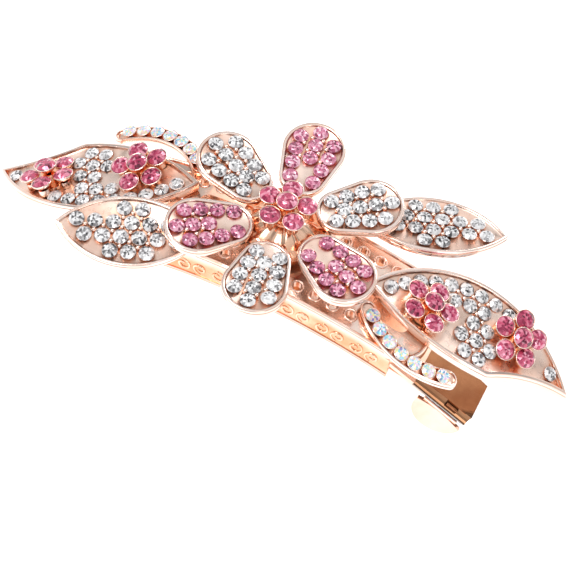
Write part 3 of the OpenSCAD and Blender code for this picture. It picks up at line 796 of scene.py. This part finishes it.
trays_with_beads = STONE_SETS["pink"] + STONE_SETS["clear"]
set_on_points("pave_beads", "bead", [p for n in trays_with_beads for p in beads_between(stone_list[n])],
              ROSE_GOLD, "rose_gold_casting")
for name in STONE_SETS["rose"] + STONE_SETS["rainbow"]:
    set_on_points("cups_" + name, "cup", setting_places(stone_list[name]), ROSE_GOLD, "rose_gold_casting")


# ---- Flower hub ---------------------------------------------------------------------
def flower_hub(rings=26, count=144, eye_r=0.4, dome_r=5.2, dome_h=1.9, edge_drop=0.35,
               flute_h=0.34, crease_h=0.05, neck_r=4.2):
    """A fluted dome whose ridges run out between and under the petals, on a round neck."""
    top = PETAL_Z - PETAL_H
    foot = ARCH_Z + BRIDGE_TOP - BRAZE
    flute_turn = math.radians(FIRST_PETAL + 30)
    points = []
    for r in range(rings):
        radius = eye_r + (HUB_R - eye_r) * r / (rings - 1)
        dome = dome_h * max(0.0, 1 - (radius / dome_r) ** 2)
        for k in range(count):
            a = 2 * math.pi * k / count
            flute = flute_h * math.cos(6 * (a - flute_turn)) * min(1, radius / 3)
            crease = crease_h * math.cos(18 * a) * min(1, radius / 4)
            z = top - edge_drop + dome + flute + crease
            points.append((radius * math.cos(a), radius * math.sin(a), z))
    neck = ((HUB_R - 0.1, top - 1.2), (neck_r + 0.2, top - 1.5), (neck_r, top - 2.0),
            (neck_r, foot + 0.4), (neck_r + 0.4, foot))
    for radius, z in neck:
        points += [(x, y, z) for x, y in circle_path(radius, count)]
    total = rings + len(neck)
    faces = ring_faces(count, total)
    faces.append(tuple(range(count)))
    faces.append(tuple(range((total - 1) * count, total * count)))
    piece = new_piece("hub_casting", points, faces, [HUB])
    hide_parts("flower_hub")


flower_hub()


# ---- Bridge trim ----------------------------------------------------------------------
def arch_point(x, y, level):
    """A point on the arch at a radius of level, in millimetres."""
    return Vector((x, y, ARCH_Z + math.sqrt(level * level - x * x)))


def tube(name, path, radius, sides=8):
    """A closed round tube along a closed path of points in millimetres."""
    points = []
    count = len(path)
    for k, p in enumerate(path):
        ahead = (path[(k + 1) % count] - path[k - 1]).normalized()
        out = ahead.cross(Vector((0, 0, 1))).normalized()
        up = out.cross(ahead)
        for j in range(sides):
            a = 2 * math.pi * j / sides
            points.append(p + out * radius * math.cos(a) + up * radius * math.sin(a))
    new_piece(name, points, ring_faces(sides, count, True), [ROSE_GOLD])


def bridge_outline(inset, level, step=0.8, corner=5.0, corner_steps=8):
    """The bridge's rounded outline on the arch."""
    half_l, half_w, r = BRIDGE_L / 2 - inset, BRIDGE_W / 2 - inset, corner - inset
    plan = []
    for sx, sy, start in ((1, 1, 0), (-1, 1, 90), (-1, -1, 180), (1, -1, 270)):
        cx, cy = sx * (half_l - r), sy * (half_w - r)
        for k in range(corner_steps + 1):
            a = math.radians(start + 90 * k / corner_steps)
            plan.append(Vector((cx + r * math.cos(a), cy + r * math.sin(a))))
    path = []
    for k, p in enumerate(plan):
        q = plan[(k + 1) % len(plan)]
        pieces = max(1, round((q - p).length / step))
        path += [p.lerp(q, j / pieces) for j in range(pieces)]
    return [arch_point(p.x, p.y + BRIDGE_Y, level) for p in path]


tube("bridge_rim_cord", bridge_outline(inset=0.35, level=BRIDGE_TOP + 0.05), radius=0.3)


def link_shape(name, path, wire, sides=6, closed=True):
    """A unit wire shape in the XY plane, half sunk below z = 0, for setting on points."""
    shape = bmesh.new()
    rings = []
    count = len(path)
    for k, (px, py) in enumerate(path):
        nx, ny = path[(k + 1) % count] if closed else path[min(k + 1, count - 1)]
        bx, by = path[k - 1] if closed else path[max(k - 1, 0)]
        ahead = Vector((nx - bx, ny - by, 0)).normalized()
        out = Vector((ahead.y, -ahead.x, 0))
        taper = 1.0 if closed else 0.45 + 0.55 * math.sin(math.pi * min(1, (k + 0.5) / count))
        rings.append([shape.verts.new((px + out.x * aside, py + out.y * aside, up))
                      for aside, up in circle_path(wire * taper, sides)])
    for k in range(count if closed else count - 1):
        a, b = rings[k], rings[(k + 1) % count]
        for j in range(sides):
            n = (j + 1) % sides
            shape.faces.new((a[j], a[n], b[n], b[j]))
    if not closed:
        shape.faces.new(rings[0])
        shape.faces.new(rings[-1])
    return link_template(template_mesh(name, shape))


def scroll_path(turns=1.15, count=18, eye_r=0.12, growth=0.34, start=0.6):
    """A small spiral that opens from its eye to a tail along X."""
    path = []
    for k in range(count):
        a = 2 * math.pi * turns * k / (count - 1)
        r = eye_r + growth * k / (count - 1)
        path.append((r * math.cos(a + start), r * math.sin(a + start)))
    return path


templates["eyelet"] = link_shape("eyelet_template", circle_path(0.5, 12), 0.09)
templates["scroll"] = link_shape("scroll_template", scroll_path(), 0.085, closed=False)


def arch_axis(x, level):
    """The direction that points straight out of the arch at x."""
    return np.array([x / level, 0, math.sqrt(1 - (x / level) ** 2)])


def bridge_eyelets(level=BRIDGE_TOP, columns_each_way=7, pitch=3.0, spread=5.4, size=1.95):
    """Raised rings round the bridge's two rows of piercings."""
    places = []
    for k in range(-columns_each_way, columns_each_way + 1):
        for side in (-1, 1):
            spot = np.array(arch_point(pitch * k, BRIDGE_Y + side * spread, level)) * MM
            axis = arch_axis(pitch * k, level)
            places.append((spot, axis, side_of(axis), size * MM))
    return places


def skirt_scrolls(skirt_l=46.0, pitch=2.9, size=2.9, drop=1.75):
    """Scrolls that stand half sunk along the outside of both skirts."""
    places = []
    count = int(skirt_l / pitch)
    for side in (-1, 1):
        for k in range(count):
            x = (k + 0.5 - count / 2) * pitch
            spot = arch_point(x, BRIDGE_Y + side * BRIDGE_W / 2, BRIDGE_TOP - BRIDGE_T - drop)
            along = np.array([math.cos(x / ARCH_R), 0, -math.sin(x / ARCH_R)]) * (1 if k % 2 else -1)
            places.append((np.array(spot) * MM, np.array([0.0, side, 0.0]), along, size * MM))
    return places


set_on_points("bridge_eyelets", "eyelet", bridge_eyelets(), ROSE_GOLD, "rose_gold_casting")
set_on_points("skirt_scrolls", "scroll", skirt_scrolls(), SKIRT_SCROLL, "rose_gold_casting")


def skirt_cord(name, side, half_l=22.8, drop=3.75, steps=30, return_gap=0.3):
    """A cord out along the outside of one skirt and back inside it."""
    y, level = BRIDGE_Y + side * BRIDGE_W / 2, BRIDGE_TOP - BRIDGE_T - drop
    path = [arch_point(half_l * k / steps, y, level) for k in range(-steps, steps + 1)]
    back = [p + Vector((0, -side * return_gap, 0)) for p in reversed(path)]
    tube(name, path + back, radius=0.26, sides=6)


skirt_cord("skirt_cord_front", -1)
skirt_cord("skirt_cord_rear", 1)


# ---- CAD nodes that keep their shape ------------------------------------------------------
KEPT = {"top_plate": STRIP, "hinge_pin": STRIP, "clasp_arm": STRIP, "tension_spring": STRIP,
        "plate_rivets": STRIP, "catch_saddle": CATCH, "catch_wing_front": WING, "catch_wing_rear": WING,
        "filigree_bridge": BRIDGE, "flower_rivet": ROSE_GOLD, "centre_cluster_cup": ROSE_GOLD}
KEPT.update({f"{h}_{s}_cup": ROSE_GOLD for h in ("left", "right") for s in ("inner", "outer")})
for node, finish in KEPT.items():
    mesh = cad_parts[node].data
    mesh.materials.clear()
    mesh.materials.append(finish)


# ---- Floor and light ------------------------------------------------------------------------
def floor_sheet(size, drop):
    """A square floor, in metres, below the clip."""
    mesh = bpy.data.meshes.new("floor")
    h = size / 2
    mesh.from_pydata([(-h, -h, 0), (h, -h, 0), (h, h, 0), (-h, h, 0)], [], [(0, 1, 2, 3)])
    mesh.materials.append(floor_finish())
    sheet = bpy.data.objects.new("floor", mesh)
    sheet.matrix_world = Matrix.Translation((0, 0, -drop))
    bpy.context.scene.collection.objects.link(sheet)


def floor_finish():
    """A matt pale floor that glows a little, so that it stays even."""
    s = Shader("pale_floor")
    s.surface.inputs["Base Color"].default_value = (0.95, 0.95, 0.95, 1)
    s.surface.inputs["Roughness"].default_value = 0.9
    s.surface.inputs["Emission Color"].default_value = (1, 1, 1, 1)
    s.surface.inputs["Emission Strength"].default_value = 0.4
    return s.material


def soft_light(name, place, size, power):
    """A square lamp at a place in metres, turned towards the clip."""
    data = bpy.data.lights.new(name, "AREA")
    data.shape = "SQUARE"
    data.size = size
    data.energy = power
    lamp = bpy.data.objects.new(name, data)
    lamp.location = place
    lamp.rotation_mode = "QUATERNION"
    lamp.rotation_quaternion = Vector(place).to_track_quat("Z", "Y")
    bpy.context.scene.collection.objects.link(lamp)


def light_stage():
    """The floor, three soft lamps and a sky that is darkest a little above the horizon."""
    arm_room = 0.066     # the open clasp arm swings this far below the clip
    floor_sheet(6, arm_room)
    soft_light("key", (-0.25, -0.15, 0.6), 0.3, 2.0)
    soft_light("fill", (0.5, -0.45, 0.35), 0.25, 0.6)
    soft_light("back", (0.1, 0.6, 0.4), 0.25, 1.2)
    world = bpy.data.worlds.new("studio")
    world.use_nodes = True
    bpy.context.scene.world = world
    nodes, links = world.node_tree.nodes, world.node_tree.links
    place = nodes.new("ShaderNodeTexCoord")
    split = nodes.new("ShaderNodeSeparateXYZ")
    links.new(place.outputs["Generated"], split.inputs[0])
    ramp = nodes.new("ShaderNodeValToRGB")
    sky = ((0.0, 1.0), (0.2, 0.95), (0.4, 0.66), (0.54, 0.3), (0.64, 0.45), (0.76, 0.84))
    fill_ramp(ramp.color_ramp, [(up, (level, level, level)) for up, level in sky])
    links.new(split.outputs["Z"], ramp.inputs["Fac"])
    links.new(ramp.outputs["Color"], nodes["Background"].inputs["Color"])
    nodes["Background"].inputs["Strength"].default_value = 1.0
    bpy.context.scene.view_settings.view_transform = "Standard"


light_stage()
for template in templates.values():
    bpy.data.objects.remove(template)
